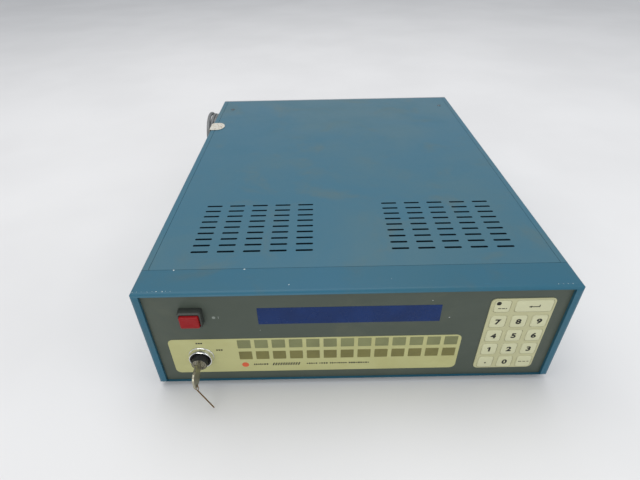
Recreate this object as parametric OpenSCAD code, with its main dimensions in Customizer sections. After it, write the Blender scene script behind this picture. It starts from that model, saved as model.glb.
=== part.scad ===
// Bench function generator in a 3U steel case: keypad, display, key lock and mains lead.
// Millimetres. X runs across the front, Y from the front to the back, Z up from the table.

/* [Case] */
// Width of the case across the front
case_w = 425; // [400:1:460]
// Height of the case without its feet
case_h = 131; // [128:1:140]
// Depth of the case from the front edge to the rear panel
case_d = 542; // [500:1:600]
// Height of the rubber feet
foot_h = 4; // [3:0.5:8]
// Depth of the front hood, back to the seam with the top cover
hood_d = 36.5; // [30:0.5:50]
// Thickness of the top and bottom covers
cover_t = 1.6; // [1:0.1:2]
// Depth that the front panel sits behind the front edge
panel_inset = 3; // [2:0.5:4]

/* [Vents] */
// Length of one vent slot
slot_l = 18.3; // [12:0.1:20]
// Width of one vent slot
slot_w = 3.2; // [2:0.1:4]
// Columns of slots in each group
slot_cols = 5; // [3:1:5]
// Rows of slots in each group
slot_rows = 9; // [3:1:9]

/* [Front panel] */
// Width of the display window
display_w = 178.4; // [150:0.1:200]
// Height of the display window
display_h = 22; // [18:0.1:26]
// Number of indicator windows in each row
window_cols = 13; // [4:1:13]
// Distance between neighbouring indicator windows
window_pitch = 17.7; // [16:0.1:18]
// Distance between neighbouring keys
key_pitch = 20.4; // [20:0.1:20.6]
// Distance that a key travels
key_travel = 0.4; // [0.2:0.1:0.4]

/* [Key lock] */
// Diameter of the chrome ring round the lock
lock_ring_d = 26.6; // [24:0.2:30]
// Diameter of the turning cylinder
cylinder_d = 16; // [12:0.5:16]

/* [Mains lead] */
// Diameter of the mains cord
cord_d = 6; // [5.5:0.1:6.2]

/* [Hidden] */
$fn = 64;
// The origin is under the middle of the object, which reaches from the key's bow to the
// output sockets, so the front edge of the case lies this far in front of it.
front_y = -260;
// Case outline, with the table at z = 0
half_w = case_w / 2;
case_z0 = foot_h;
case_z1 = foot_h + case_h;
edge_r = 3;
// Front frame: side members, and the thin lips above and below the panel
frame_side = 8.5;
lip_t = 3;
ledge = 5;
panel_half_w = half_w - frame_side;
panel_z0 = case_z0 + lip_t;
panel_z1 = case_z1 - lip_t;
// Layers of the front panel, as distances behind the front edge
strip_y = panel_inset - 0.2;
plate_y = panel_inset + 0.6;
plate_back = plate_y + 1.9;
// Side channels and the rear panel
channel_t = 3;
flange_w = 30;
rail_w = 8;
rear_t = 3;
rear_y = case_d - rear_t;
floor_z = case_z0 + cover_t;
gap = 0.4;
// Vent groups
slot_pitch_x = 27.4;
slot_pitch_y = 11.3;
slot_first_y = 65;
vent_x = 105;
// Front panel features: x across the panel, z above the table
display_x = -6.5;
display_z = 102.3;
strip_x0 = -191;
strip_x1 = 109;
strip_z0 = 19;
strip_z1 = 70.8;
window_w = 13.5;
window_h = 12.4;
window_x0 = -113.7;
window_upper_z = 62.4;
window_lower_z = 44.9;
// Keypad: the first key column, the lowest key row and the size of a key
pad_x = 140.4;
pad_z = 28;
pad_x0 = 128.8;
pad_x1 = 191.1;
key_w = 15.8;
key_h = 16.6;
key_r = 3;
key_gap = 0.2;
key_front = panel_inset - 1.2;
key_back = panel_inset + 0.2;
top_row_z = pad_z + 4 * key_pitch + 0.4;
top_row_h = 15.6;
pad_z0 = pad_z - key_h / 2 - 1.4;
pad_z1 = top_row_z + top_row_h / 2 + 2.2;
// Inset of the keypad's opening from the edge of its sheet
pad_edge = 1.2;
sheet_y = panel_inset - 0.7;
// Key lock, with the axis along Y
lock_x = -160;
lock_z = 45.5;
lock_front = -8.5;
barrel_r = 9.4;
key_t = 2;
blade_h = 8;
blade_l = 26;
// Bow: its front and back ends, its half height and the radius of its corners
bow_y0 = -34;
bow_y1 = -13;
bow_half = 9.5;
bow_r = 6.5;
neck_half = 5.5;
// Wire tie through the bow's hole: an eye, two legs that close together, and a twisted stem
hole_y = -29.5;
hole_z = 40.1;
hole_r = 1.7;
wire_r = 0.45;
eye_r = 1.9;
leg_z = -5;
close_z = -8;
stem_r = 0.8;
stem_end = [12.4, 0, -38.2];
// Power switch
switch_x = -159.4;
switch_z = 105.4;
bezel_w = 22.8;
bezel_h = 20;
bezel_y = -5;
switch_w = 22;
switch_h = 19;
switch_back = 34;
button_w = 18.6;
button_h = 14.4;
button_z = 105.2;
button_y = -7.8;
button_back = 1;
stem_w = 8;
stem_back = 12;
button_travel = 3;
button_gap = 0.3;
// Inside
board_t = 1.6;
board_z = 20;
front_board_y = 14;
main_posts = [for (x = [-52, 172], y = [78, 332]) [x, y]];
power_posts = [for (x = [-62, 52], y = [378, 502]) [x, y]];
// Rear panel features
output_x = [110, 135, 160];
output_z = 90;
data_x = 60;
data_z = 60;
data_screw = 47.04;
fuse_x = -165;
fuse_z = 88;
cord_x = -165;
cord_z = 44;
// Coil of the mains lead, which stands on its rim against the left side of the case
coil_x = -225.3;
coil_w = 19.2;
coil_y = 488;
coil_r_out = 65;
coil_r_in = 43.5;
plug_x = -232;
plug_z = 11;
plug_back = coil_y - 80;
tag_y = 411;
// Free stretch of the lead from the strain relief to the coil: x, distance behind the
// front edge, and z
cord_route = [[-165, 577, 44], [-165, 590, 43.6], [-166, 602, 41], [-169, 613, 35.4],
    [-174, 621, 27], [-181, 625, 18], [-190, 624.6, 10], [-200, 620.6, 5], [-210, 613, 3.2],
    [-218.6, 603, 3.1], [-224.6, 591, 3.1], [-227.6, 577, 3.1], [-227.6, 562, 3.1],
    [-226, 547, 3.1], [-223.6, 532, 3.1], [-221.4, 517, 3.1], [-219.6, 505, 3.1]];
cord_sides = 10;
// Colours
hood_blue = [0.18, 0.40, 0.52];
cream = [0.78, 0.77, 0.66];
panel_grey = [0.22, 0.24, 0.23];
steel = [0.72, 0.74, 0.75];
chrome = [0.85, 0.86, 0.88];
board_green = [0.10, 0.32, 0.20];
cord_grey = [0.48, 0.49, 0.50];

// ---- helpers ----

// A rectangle about the origin with round corners
module round_rect(w, h, r) {
    square([w - 2 * r, h], center = true);
    square([w, h - 2 * r], center = true);
    for (x = [-1, 1], z = [-1, 1])
        translate([x * (w / 2 - r), z * (h / 2 - r)])
            circle(r);
}

// Moves a sub-part drawn from the front edge of the case into the part's own frame
module from_front() {
    translate([0, front_y, 0])
        children();
}

// An outline in X and Z, drawn from depth y0 back to depth y1
module slab(y0, y1) {
    translate([0, y1, 0])
        rotate([90, 0, 0])
            linear_extrude(y1 - y0)
                children();
}

// A round bar along Y
module bar(x, z, r, y0, y1) {
    translate([x, y1, z])
        rotate([90, 0, 0])
            cylinder(h = y1 - y0, r = r);
}

// A bar along Y that is r0 at its front end and r1 at its back end
module taper(x, z, r0, r1, y0, y1) {
    translate([x, y1, z])
        rotate([90, 0, 0])
            cylinder(h = y1 - y0, r1 = r1, r2 = r0);
}

// A box between two corners
module block(low, high) {
    translate(low)
        cube(high - low);
}

// A box with round edges along Y
module pad(x, z, w, h, r, y0, y1) {
    slab(y0, y1)
        translate([x, z])
            round_rect(w, h, r);
}

// ---- case ----

// The outer shape of the case in X and Z
module case_outline() {
    translate([0, (case_z0 + case_z1) / 2])
        round_rect(case_w, case_h, edge_r);
}

// The hood's outer solid, with its front edges rounded over
module hood_solid() {
    front_r = 5;
    side_r = 4;
    intersection() {
        slab(0, hood_d)
            case_outline();
        translate([-half_w, 0, 0])
            rotate([90, 0, 90])
                linear_extrude(case_w) {
                    translate([front_r, case_z0])
                        square([hood_d - front_r, case_h]);
                    translate([0, case_z0 + front_r])
                        square([hood_d, case_h - 2 * front_r]);
                    for (z = [case_z0 + front_r, case_z1 - front_r])
                        translate([front_r, z])
                            circle(front_r);
                }
        linear_extrude(case_z1 + 1) {
            translate([-half_w + side_r, 0])
                square([case_w - 2 * side_r, hood_d]);
            translate([-half_w, side_r])
                square([case_w, hood_d - side_r]);
            for (x = [-1, 1])
                translate([x * (half_w - side_r), side_r])
                    circle(side_r);
        }
    }
}

module front_hood() {
    wall = 2.6;
    pocket_w = half_w - wall - 0.9;
    web_back = plate_back + 2.5;
    color(hood_blue)
        from_front()
            difference() {
                hood_solid();
                block([-panel_half_w, -1, panel_z0], [panel_half_w, plate_back, panel_z1]);
                block([-panel_half_w + ledge, -1, panel_z0 + ledge],
                    [panel_half_w - ledge, hood_d, panel_z1 - ledge]);
                block([-pocket_w, web_back, case_z0 + wall], [pocket_w, hood_d + 1, case_z1 - wall]);
            }
}

// One group of vent slots, long across the case
module vent_slots(cx, rows) {
    for (i = [0 : slot_cols - 1], j = [0 : rows - 1])
        translate([cx + (i - (slot_cols - 1) / 2) * slot_pitch_x, slot_first_y + j * slot_pitch_y, 0])
            linear_extrude(case_z1 + 1)
                round_rect(slot_l, slot_w, slot_w / 2 - 0.2);
}

// Cover screws: their places, and the radii of the shank and of its hole
screw_x = half_w - 23.5;
screw_ys = [60, case_d - 48];
shank_r = 1.6;
hole_for_screw = 1.7;
// Rows of slots in the bottom cover
bottom_rows = 3;

module cover_sheet(z0, rows, holes) {
    edge = half_w - rail_w;
    difference() {
        block([-edge + gap, hood_d + gap, z0], [edge - gap, rear_y, z0 + cover_t]);
        for (side = [-1, 1])
            vent_slots(side * vent_x, rows);
        for (side = [-1, 1], y = holes)
            translate([side * screw_x, y, z0 - 1])
                cylinder(h = cover_t + 2, r = hole_for_screw);
    }
}

module top_cover() {
    color(hood_blue)
        from_front()
            cover_sheet(case_z1 - cover_t, slot_rows, [screw_ys[1]]);
}

module bottom_cover() {
    color(hood_blue)
        from_front()
            cover_sheet(case_z0, bottom_rows, screw_ys);
}

// A side channel: a wall with a rail, and a flange under each cover
module side_channel() {
    color(hood_blue)
        from_front()
            difference() {
                slab(hood_d + gap, rear_y)
                    intersection() {
                        case_outline();
                        union() {
                            translate([-half_w, case_z0])
                                square([channel_t, case_h]);
                            for (z = [case_z0, case_z1 - cover_t])
                                translate([-half_w, z])
                                    square([rail_w, cover_t]);
                            for (z = [case_z0 + cover_t, case_z1 - cover_t - channel_t])
                                translate([-half_w, z])
                                    square([flange_w, channel_t]);
                        }
                    }
                for (y = screw_ys)
                    translate([-screw_x, y, case_z0 - 1])
                        cylinder(h = case_h + 2, r = hole_for_screw);
            }
}

module side_panel_left() {
    side_channel();
}

module side_panel_right() {
    mirror([1, 0, 0])
        side_channel();
}

module rear_panel() {
    bnc_r = 6.5;
    data_w = 40;
    data_h = 12;
    fuse_r = 7.6;
    relief_r = 8.1;
    color(steel)
        from_front()
            difference() {
                slab(rear_y, case_d)
                    case_outline();
                for (x = output_x)
                    bar(x, output_z, bnc_r, rear_y - 1, case_d + 1);
                block([data_x - data_w / 2, rear_y - 1, data_z - data_h / 2],
                    [data_x + data_w / 2, case_d + 1, data_z + data_h / 2]);
                for (side = [-1, 1])
                    bar(data_x + side * data_screw / 2, data_z, hole_for_screw, rear_y - 1, case_d + 1);
                bar(fuse_x, fuse_z, fuse_r, rear_y - 1, case_d + 1);
                bar(cord_x, cord_z, relief_r, rear_y - 1, case_d + 1);
            }
}

// Four rubber feet under the bottom cover
module feet() {
    foot_r = 9;
    foot_x = 165;
    foot_ys = [42, case_d - 70];
    color([0.10, 0.10, 0.10])
        from_front()
            for (side = [-1, 1], y = foot_ys)
                translate([side * foot_x, y, 0]) {
                    cylinder(h = 1, r1 = foot_r - 1, r2 = foot_r);
                    translate([0, 0, 1])
                        cylinder(h = foot_h - 1, r = foot_r);
                }
}

// The cover screws: two in the top at the back, four in the bottom
module case_screws() {
    head_h = 1.1;
    rim_r = 3.4;
    top_r = 2.4;
    shank_l = 7;
    color([0.25, 0.33, 0.38])
        from_front()
            for (side = [-1, 1]) {
                translate([side * screw_x, screw_ys[1], case_z1]) {
                    cylinder(h = head_h, r1 = rim_r, r2 = top_r);
                    translate([0, 0, -shank_l])
                        cylinder(h = shank_l, r = shank_r);
                }
                for (y = screw_ys)
                    translate([side * screw_x, y, case_z0 - head_h]) {
                        cylinder(h = head_h, r1 = top_r, r2 = rim_r);
                        translate([0, 0, head_h])
                            cylinder(h = shank_l, r = shank_r);
                    }
            }
}

// ---- front panel ----

module panel_sheet(y0, y1) {
    pad(0, (panel_z0 + panel_z1) / 2, 2 * panel_half_w - 0.2, panel_z1 - panel_z0 - 0.2, 0.6, y0, y1);
}

// The windows of one row, grown by a clearance on each side
module window_row(z, grow, y0, y1) {
    for (i = [0 : window_cols - 1])
        pad(window_x0 + i * window_pitch, z, window_w + 2 * grow, window_h + 2 * grow, 0.8, y0, y1);
}

// The display, keypad, lock and switch openings
module panel_openings(y0, y1) {
    pad(display_x, display_z, display_w + 0.2, display_h + 0.2, 0.8, y0, y1);
    block([pad_x0 + pad_edge, y0, pad_z0 + pad_edge], [pad_x1 - pad_edge, y1, pad_z1 - pad_edge]);
    bar(lock_x, lock_z, barrel_r + 0.1, y0, y1);
    pad(switch_x, switch_z, switch_w + 0.4, switch_h + 0.4, 1, y0, y1);
}

module front_plate() {
    color(steel)
        from_front()
            difference() {
                panel_sheet(plate_y, plate_back);
                panel_openings(plate_y - 1, plate_back + 1);
                for (z = [window_upper_z, window_lower_z])
                    window_row(z, -1, plate_y - 1, plate_back + 1);
            }
}

module panel_overlay() {
    color(panel_grey)
        from_front()
            difference() {
                panel_sheet(panel_inset, plate_y);
                panel_openings(panel_inset - 1, plate_y + 1);
                for (z = [window_upper_z, window_lower_z])
                    window_row(z, 0.1, panel_inset - 1, plate_y + 1);
            }
}

module legend_strip() {
    w = strip_x1 - strip_x0;
    h = strip_z1 - strip_z0;
    color(cream)
        from_front()
            difference() {
                pad(strip_x0 + w / 2, strip_z0 + h / 2, w, h, 6, strip_y, panel_inset);
                bar(lock_x, lock_z, barrel_r + 0.1, 0, panel_inset + 1);
                for (z = [window_upper_z, window_lower_z])
                    window_row(z, 0.1, 0, panel_inset + 1);
            }
}

module indicator_windows_upper() {
    color([0.52, 0.54, 0.42])
        from_front()
            window_row(window_upper_z, 0, strip_y, plate_y);
}

module indicator_windows_lower() {
    color([0.52, 0.50, 0.33])
        from_front()
            window_row(window_lower_z, 0, strip_y, plate_y);
}

module display_window() {
    color([0.10, 0.20, 0.42])
        from_front()
            pad(display_x, display_z, display_w, display_h, 0.6, panel_inset - 0.1, plate_back);
}

module display_glass() {
    half_l = 92;
    half_h = 14;
    color([0.55, 0.62, 0.60])
        from_front()
            block([display_x - half_l, 8.4, display_z - half_h],
                [display_x + half_l, front_board_y, display_z + half_h]);
}

// One board behind the panel that carries the display and the indicator lamps
module front_board() {
    color(board_green)
        from_front()
            block([-130, front_board_y, 30], [122, front_board_y + board_t, 122]);
}

module indicator_leds() {
    led_r = 2.5;
    led_l = 4.5;
    color([0.75, 0.20, 0.15])
        from_front()
            for (i = [0 : window_cols - 1], z = [window_upper_z, window_lower_z])
                translate([window_x0 + i * window_pitch, front_board_y, z])
                    rotate([90, 0, 0]) {
                        cylinder(h = led_l, r = led_r);
                        translate([0, 0, led_l])
                            sphere(led_r);
                    }
}

// ---- keypad ----

// Centre of a key in column c and row r, counted from the lower left
function key_x(c) = pad_x + c * key_pitch;
function key_z(r) = pad_z + r * key_pitch;
wide_x = key_x(1.5);
wide_w = key_w + key_pitch;

module one_key(x, z, w, h) {
    color([0.86, 0.86, 0.80])
        from_front()
            pad(x, z, w, h, key_r, key_front, key_back);
}

module number_key(c, r) {
    one_key(key_x(c), key_z(r), key_w, key_h);
}

module key_0() { number_key(1, 0); }
module key_1() { number_key(0, 1); }
module key_2() { number_key(1, 1); }
module key_3() { number_key(2, 1); }
module key_4() { number_key(0, 2); }
module key_5() { number_key(1, 2); }
module key_6() { number_key(2, 2); }
module key_7() { number_key(0, 3); }
module key_8() { number_key(1, 3); }
module key_9() { number_key(2, 3); }
module key_point() { number_key(0, 0); }
module key_dash() { number_key(2, 0); }
module key_wide() { one_key(wide_x, top_row_z, wide_w, top_row_h); }
module key_mode() { one_key(pad_x, top_row_z, key_w, top_row_h); }

// The hole in the sheet round one key
module key_hole(x, z, w, h) {
    pad(x, z, w + 2 * key_gap, h + 2 * key_gap, key_r + key_gap, 0, panel_inset + 1);
}

// The cream sheet round the keys
module keypad_sheet() {
    color(cream)
        from_front()
            difference() {
                pad((pad_x0 + pad_x1) / 2, (pad_z0 + pad_z1) / 2, pad_x1 - pad_x0, pad_z1 - pad_z0, 5,
                    sheet_y, panel_inset);
                for (c = [0 : 2], r = [0 : 3])
                    key_hole(key_x(c), key_z(r), key_w, key_h);
                key_hole(pad_x, top_row_z, key_w, top_row_h);
                key_hole(wide_x, top_row_z, wide_w, top_row_h);
            }
}

// The contact board behind the keys, with one low dome under each
module keypad_board() {
    board_y = key_back + key_travel + 0.45;
    dome_h = 0.4;
    color([0.75, 0.60, 0.30])
        from_front() {
            block([pad_x0 + pad_edge + 0.1, board_y, pad_z0 + pad_edge + 0.1],
                [pad_x1 - pad_edge - 0.1, plate_back, pad_z1 - pad_edge - 0.1]);
            for (c = [0 : 2], r = [0 : 3])
                taper(key_x(c), key_z(r), 2, 4, board_y - dome_h, board_y);
            taper(pad_x, top_row_z, 2, 4, board_y - dome_h, board_y);
            taper(wide_x, top_row_z, 2, 4, board_y - dome_h, board_y);
        }
}

// ---- key lock ----

module lock_ring() {
    r = lock_ring_d / 2;
    color(chrome)
        from_front()
            difference() {
                union() {
                    bar(lock_x, lock_z, r, strip_y - 1.2, strip_y);
                    taper(lock_x, lock_z, r - 1.6, r, strip_y - 6, strip_y - 1.2);
                }
                bar(lock_x, lock_z, barrel_r + 0.9, strip_y - 7, strip_y + 1);
            }
}

module lock_collar() {
    color([0.08, 0.08, 0.09])
        from_front()
            difference() {
                bar(lock_x, lock_z, barrel_r + 0.8, strip_y - 4.6, strip_y);
                bar(lock_x, lock_z, cylinder_d / 2 + 0.3, strip_y - 5, strip_y + 1);
            }
}

module lock_body() {
    color(steel)
        from_front()
            difference() {
                bar(lock_x, lock_z, barrel_r, strip_y, 34);
                bar(lock_x, lock_z, cylinder_d / 2 + 0.05, strip_y - 1, 30.2);
                bar(lock_x, lock_z, 3.05, 30, 35);
            }
}

module lock_cylinder() {
    color(chrome)
        from_front()
            difference() {
                union() {
                    bar(lock_x, lock_z, cylinder_d / 2, lock_front, 30);
                    bar(lock_x, lock_z, 3, 30, 46);
                }
                block([lock_x - key_t / 2 - 0.2, lock_front - 1, lock_z - blade_h / 2 - 0.2],
                    [lock_x + key_t / 2 + 0.2, lock_front + blade_l + 1, lock_z + blade_h / 2 + 0.2]);
            }
}

module lock_nut() {
    corner_r = 13.5;
    nut_back = plate_back + 4;
    color(steel)
        from_front()
            difference() {
                bar_hex(lock_x, lock_z, corner_r, plate_back, nut_back);
                bar(lock_x, lock_z, barrel_r, plate_back - 1, nut_back + 1);
            }
}

// A six-sided bar along Y, r to its corners
module bar_hex(x, z, r, y0, y1) {
    translate([x, y1, z])
        rotate([90, 0, 0])
            cylinder(h = y1 - y0, r = r, $fn = 6);
}

module lock_contacts() {
    color([0.12, 0.12, 0.14])
        from_front()
            difference() {
                block([lock_x - 12, 34.1, lock_z - 12], [lock_x + 12, 50, lock_z + 12]);
                bar(lock_x, lock_z, 3.05, 34, 47);
            }
}

// An outline in Y and Z, drawn from x0 to x1
module plate(x0, x1) {
    translate([x0, 0, 0])
        rotate([90, 0, 90])
            linear_extrude(x1 - x0)
                children();
}

module lock_key() {
    color([0.74, 0.73, 0.68])
        from_front()
            difference() {
                union() {
                    block([lock_x - key_t / 2, lock_front - 1, lock_z - blade_h / 2],
                        [lock_x + key_t / 2, lock_front + blade_l, lock_z + blade_h / 2]);
                    block([lock_x - key_t / 2, bow_y1 - 1, lock_z - neck_half],
                        [lock_x + key_t / 2, lock_front - 1, lock_z + neck_half]);
                    plate(lock_x - key_t / 2, lock_x + key_t / 2)
                        translate([(bow_y0 + bow_y1) / 2, lock_z])
                            round_rect(bow_y1 - bow_y0, 2 * bow_half, bow_r);
                }
                plate(lock_x - key_t, lock_x + key_t)
                    translate([hole_y, hole_z])
                        circle(hole_r);
            }
}

// A round rod between two points, with a ball at its end that is a little wider
module rod(a, b, r) {
    v = b - a;
    translate(a)
        rotate([0, acos(v[2] / norm(v)), atan2(v[1], v[0])])
            cylinder(h = norm(v), r = r);
    translate(b)
        sphere(1.06 * r);
}

// The wire tie on the key
module wire_loop() {
    color([0.50, 0.34, 0.18])
        from_front()
            translate([lock_x, hole_y, hole_z]) {
                translate([0, 0, -eye_r])
                    half_ring();
                for (side = [-1, 1]) {
                    rod([side * eye_r, 0, -eye_r], [side * eye_r, 0, leg_z], wire_r);
                    rod([side * eye_r, 0, leg_z], [side * 0.2 + 0.3, 0, close_z], wire_r);
                }
                rod([0.3, 0, close_z + 0.3], stem_end, stem_r);
            }
}

// The upper half of a ring in X and Z
module half_ring() {
    rotate([90, 0, 0])
        difference() {
            rotate_extrude()
                translate([eye_r, 0])
                    circle(wire_r);
            translate([-2 * eye_r, -2 * eye_r, -1])
                cube([4 * eye_r, 2 * eye_r, 2]);
        }
}

// ---- power switch ----

module switch_housing() {
    grow = 2 * button_gap;
    color([0.10, 0.10, 0.10])
        from_front()
            difference() {
                union() {
                    pad(switch_x, switch_z, bezel_w, bezel_h, 2, bezel_y, panel_inset);
                    pad(switch_x, switch_z, switch_w, switch_h, 0.8, panel_inset, switch_back);
                }
                pad(switch_x, button_z, button_w + grow, button_h + grow, 1.2, bezel_y - 1,
                    button_back + button_travel + 0.5);
                pad(switch_x, button_z, stem_w + grow, stem_w + grow, 0.4, button_back,
                    stem_back + button_travel + 0.5);
            }
}

module power_button() {
    face_t = 0.8;
    color([0.70, 0.12, 0.16])
        from_front() {
            pad(switch_x, button_z, button_w, button_h, 1, button_y + face_t, button_back);
            pad(switch_x, button_z, button_w - 1.2, button_h - 1.2, 0.8, button_y, button_y + face_t);
            pad(switch_x, button_z, stem_w, stem_w, 0.4, button_back, stem_back);
        }
}

// ---- inside ----

module main_board() {
    color(board_green)
        from_front()
            difference() {
                block([-60, 70, board_z], [180, 340, board_z + board_t]);
                for (p = main_posts)
                    translate([p[0], p[1], board_z - 1])
                        cylinder(h = board_t + 2, r = hole_for_screw);
            }
}

// Standoffs under the main board and the power board
module board_standoffs() {
    color(steel)
        from_front()
            for (p = concat(main_posts, power_posts))
                translate([p[0], p[1], floor_z])
                    cylinder(h = board_z - floor_z, r = 3);
}

module board_chips() {
    top = board_z + board_t;
    color([0.12, 0.12, 0.13])
        from_front() {
            for (x = [-30 : 32 : 98], y = [120 : 40 : 280])
                block([x, y, top], [x + 19, y + 7, top + 4]);
            block([140, 150, top], [155, 202, top + 5]);
            block([140, 220, top], [155, 272, top + 5]);
        }
}

module power_board() {
    color([0.45, 0.34, 0.16])
        from_front()
            difference() {
                block([-70, 370, board_z], [60, 510, board_z + board_t]);
                for (p = power_posts)
                    translate([p[0], p[1], board_z - 1])
                        cylinder(h = board_t + 2, r = hole_for_screw);
            }
}

module capacitors() {
    top = board_z + board_t;
    color([0.16, 0.22, 0.42])
        from_front()
            for (p = [[-40, 410, 12], [-40, 445, 12], [-5, 410, 9], [-5, 440, 9], [22, 410, 6]])
                translate([p[0], p[1], top])
                    cylinder(h = 3 * p[2], r = p[2]);
}

transformer_x = -128;
transformer_y = 430;

// Laminated core: a frame with a middle leg, round the winding
module transformer_core() {
    half_w = 38;
    half_t = 22;
    core_h = 64;
    leg_half = 13;
    window_w = 13;
    yoke_h = 12;
    color([0.35, 0.33, 0.32])
        from_front()
            translate([transformer_x, transformer_y, floor_z])
                difference() {
                    block([-half_w, -half_t, 0], [half_w, half_t, core_h]);
                    for (x = [-leg_half - window_w, leg_half])
                        block([x, -half_t - 1, yoke_h], [x + window_w, half_t + 1, core_h - yoke_h]);
                }
}

// The winding, wrapped round the middle leg
module transformer_coil() {
    color([0.72, 0.42, 0.20])
        from_front()
            translate([transformer_x, transformer_y, floor_z])
                difference() {
                    block([-25.5, -34, 12.5], [25.5, 34, 51.5]);
                    block([-13, -22, 12], [13, 22, 52]);
                }
}

// Flat cable from the front board down to the main board
module ribbon_cable() {
    y0 = front_board_y + board_t;
    z0 = 38;
    z1 = board_z + board_t;
    ribbon_w = 52;
    ribbon_x = -20;
    reach = 50;
    bend_r = 4;
    t = 1.2;
    outer_r = bend_r + t;
    color([0.62, 0.63, 0.64])
        from_front()
            translate([ribbon_x, 0, 0])
                rotate([90, 0, 90])
                    linear_extrude(ribbon_w) {
                        translate([y0, z0 - t])
                            square([reach, t]);
                        translate([y0 + reach, z0 - outer_r])
                            intersection() {
                                difference() {
                                    circle(outer_r);
                                    circle(bend_r);
                                }
                                square(outer_r + 1);
                            }
                        translate([y0 + reach + bend_r, z1])
                            square([t, z0 - outer_r - z1]);
                    }
}

// ---- rear panel ----

module bnc_connectors() {
    tail_l = 8;
    shell_r = 6.4;
    flange_r = 8.6;
    barrel_out_r = 4.8;
    barrel_in_r = 4.1;
    core_r = 2.4;
    pin_hole_r = 0.7;
    seat_y = case_d + 2;
    end_y = case_d + 12;
    color(chrome)
        from_front()
            for (x = output_x)
                difference() {
                    union() {
                        bar(x, output_z, shell_r, rear_y - tail_l, case_d);
                        bar_hex(x, output_z, flange_r, case_d, seat_y);
                        bar(x, output_z, barrel_out_r, seat_y, end_y);
                    }
                    difference() {
                        bar(x, output_z, barrel_in_r, seat_y + 1, end_y + 1);
                        bar(x, output_z, core_r, seat_y, end_y - 1);
                    }
                    bar(x, output_z, pin_hole_r, seat_y + 3, end_y + 1);
                }
}

module data_connector() {
    flange = [53, 12.4];
    shell = [38.3, 8.3];
    body = [39.6, 11.6];
    flange_y = case_d + 1;
    shell_y = case_d + 6;
    body_l = 8;
    screw_r = 1.4;
    color(steel)
        from_front()
            difference() {
                union() {
                    pad(data_x, data_z, flange[0], flange[1], 1.5, case_d, flange_y);
                    pad(data_x, data_z, shell[0], shell[1], 2.5, flange_y, shell_y);
                    pad(data_x, data_z, body[0], body[1], 1, rear_y - body_l, case_d);
                }
                for (side = [-1, 1])
                    bar(data_x + side * data_screw / 2, data_z, screw_r, case_d - 1, flange_y + 1);
            }
}

module fuse_holder() {
    body_r = 7.5;
    flange_r = 9.5;
    bore_r = 5.2;
    body_l = 36;
    bore_l = 30;
    flange_y = case_d + 2;
    color([0.12, 0.12, 0.12])
        from_front()
            difference() {
                union() {
                    bar(fuse_x, fuse_z, body_r, rear_y - body_l, case_d);
                    bar(fuse_x, fuse_z, flange_r, case_d, flange_y);
                }
                bar(fuse_x, fuse_z, bore_r, rear_y - bore_l, flange_y + 1);
            }
}

// The fuse's cap: a knob outside and a plug in the holder
module fuse_cap() {
    knob_y = case_d + 2.2;
    knob_end = case_d + 9;
    knob_r = 7.6;
    plug_r = 5.1;
    plug_l = 6;
    slot_half = 0.6;
    color([0.16, 0.16, 0.16])
        from_front()
            difference() {
                union() {
                    bar(fuse_x, fuse_z, plug_r, rear_y - plug_l, knob_y);
                    bar(fuse_x, fuse_z, knob_r, knob_y, knob_end);
                }
                block([fuse_x - 5, knob_end - 1, fuse_z - slot_half],
                    [fuse_x + 5, knob_end + 1, fuse_z + slot_half]);
            }
}

// ---- mains lead ----

module strain_relief() {
    neck_r = 8;
    neck_l = 6;
    flange_r = 10;
    flange_y = case_d + 3;
    color([0.14, 0.14, 0.15])
        from_front() {
            bar(cord_x, cord_z, neck_r, rear_y - neck_l, case_d);
            bar(cord_x, cord_z, flange_r, case_d, flange_y);
            taper(cord_x, cord_z, 7, 4.4, flange_y, cord_route[0][1]);
        }
}

// Unit vector, and the direction of the cord at route point i
function unit(v) = v / norm(v);
function along(i) = unit(cord_route[min(i + 1, len(cord_route) - 1)] - cord_route[max(i - 1, 0)]);
function across(i) = unit(cross(along(i), [0.3, 0.2, 0.93]));
function ring(i) = [for (k = [0 : cord_sides - 1])
    let (a = 360 * k / cord_sides)
        cord_route[i] + cord_d / 2 * (cos(a) * across(i) + sin(a) * cross(along(i), across(i)))];

module mains_cord() {
    n = len(cord_route);
    s = cord_sides;
    points = [for (i = [0 : n - 1]) each ring(i)];
    sides = [for (i = [0 : n - 2], k = [0 : s - 1])
        [i * s + k, i * s + (k + 1) % s, (i + 1) * s + (k + 1) % s, (i + 1) * s + k]];
    start = [[for (k = [s - 1 : -1 : 0]) k]];
    end = [[for (k = [0 : s - 1]) (n - 1) * s + k]];
    color(cord_grey)
        from_front()
            polyhedron(points, concat(start, sides, end), convexity = 4);
}

// Stands the children's Z axis along X, at the middle of the coil
module at_coil() {
    translate([coil_x, coil_y, coil_r_out])
        rotate([0, 90, 0])
            children();
}

module cord_coil() {
    color(cord_grey)
        from_front()
            at_coil()
                rotate_extrude()
                    translate([(coil_r_in + coil_r_out) / 2, 0])
                        round_rect(coil_r_out - coil_r_in, coil_w, 3);
}

// A paper tag: one flap hangs down beside the case, the other lies over the edge of the case
module cord_tag() {
    t = 0.7;
    outer_x = -half_w - 1.8;
    flap_x = -190;
    top_z = case_z1 + 0.3;
    color([0.90, 0.88, 0.82])
        from_front() {
            block([outer_x, tag_y - 12, case_z1 - 24], [outer_x + t, tag_y + 12, top_z + 0.2]);
            block([outer_x, tag_y - 15, top_z], [flap_x, tag_y + 15, top_z + t]);
        }
}

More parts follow.
